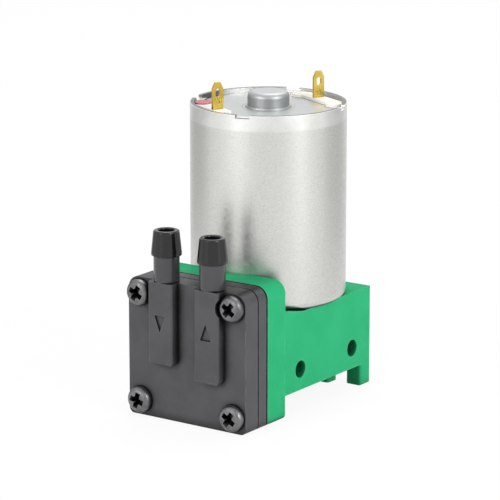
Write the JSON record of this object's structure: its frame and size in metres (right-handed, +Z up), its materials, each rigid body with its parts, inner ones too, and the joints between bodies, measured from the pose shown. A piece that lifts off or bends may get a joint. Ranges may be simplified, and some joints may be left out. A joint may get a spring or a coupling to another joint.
{
  "type": "mini diaphragm pump",
  "caption": "Small motor-driven diaphragm pump: green moulded body on a flange and feet, black square head with hose barbs, upright steel can motor with solder terminals.",
  "frame": {"origin": "under the middle of the pump's box, level with the flange's lower edge and the feet", "axes": "+X across the head towards the outlet side, +Y from the head to the back, +Z up along the motor shaft"},
  "size_m": [0.0244, 0.037, 0.0507],
  "materials": {
    "body_green": "moulded plastic, satin",
    "head_black": "moulded plastic, matt",
    "rubber": "moulded rubber",
    "screw_steel": "zinc plated",
    "bearing_steel": "ground and polished",
    "rod_plastic": "moulded plastic",
    "can_steel": "nickel plated, satin",
    "bell_steel": "pressed and plated",
    "core_steel": "stamped laminations",
    "magnet": "sintered ferrite",
    "carbon": "pressed carbon",
    "brass": "bare brass",
    "bronze": "sintered bronze",
    "copper": "enamelled copper",
    "board": "phenolic board",
    "fibre_white": "vulcanised fibre",
    "fibre_cream": "vulcanised fibre",
    "fibre_red": "dyed fibre"
  },
  "bodies": {
    "pump_frame": {"pump_body": "body_green", "bottom_cover": "body_green", "valve_plate": "head_black", "head_cover": "head_black", "cover_seal": "rubber", "head_screws": "screw_steel", "inlet_barb": "head_black", "outlet_barb": "head_black", "diaphragm": "rubber", "motor_can": "can_steel", "motor_screws": "screw_steel", "drive_end_bearing": "bronze", "magnets": "magnet", "magnet_clip": "bearing_steel", "end_bell": "bell_steel", "rear_bearing": "bronze", "brush_plate": "board", "brushes": "carbon", "brush_arms": "brass", "terminal_left": "brass", "terminal_right": "brass", "insulator_left": "fibre_white", "insulator_right": "fibre_cream", "polarity_washer": "fibre_red"},
    "rotor": {"motor_shaft": "bearing_steel", "armature_core": "core_steel", "windings": "copper", "commutator": "copper", "shaft_washers": "fibre_cream", "eccentric": "brass", "bearing_inner_ring": "bearing_steel"},
    "ball_set": {"bearing_balls": "bearing_steel", "bearing_cage": "brass"},
    "rod": {"connecting_rod": "rod_plastic", "bearing_outer_ring": "bearing_steel", "clamp_disc": "bearing_steel", "clamp_screw": "screw_steel"},
    "inlet_valve": {"inlet_valve": "rubber"},
    "outlet_valve": {"outlet_valve": "rubber"}
  },
  "joints": [
    {"name": "motor_spin", "type": "hinge", "parent": "pump_frame", "child": "rotor", "pos_m": [0, 0.00535, 0.01105], "axis": [0, 0, 1], "continuous": true},
    {"name": "rod_swing", "type": "hinge", "parent": "rotor", "child": "rod", "pos_m": [0, 0.00455, 0.01105], "axis": [0, 0, 1], "continuous": true, "deforming": ["diaphragm"]},
    {"name": "ball_roll", "type": "hinge", "parent": "rotor", "child": "ball_set", "pos_m": [0, 0.00455, 0.01105], "axis": [0, 0, 1], "continuous": true},
    {"name": "inlet_lift", "type": "slide", "parent": "pump_frame", "child": "inlet_valve", "axis": [0, 1, 0], "range_m": [0, 0.0003], "stiffness_N_per_m": 20},
    {"name": "outlet_lift", "type": "slide", "parent": "pump_frame", "child": "outlet_valve", "axis": [0, -1, 0], "range_m": [0, 0.0003], "stiffness_N_per_m": 20}
  ],
  "couplings": [
    {"joint": "rod_swing", "follows": "motor_spin", "ratio": -1},
    {"joint": "ball_roll", "follows": "motor_spin", "ratio": -0.5857}
  ]
}
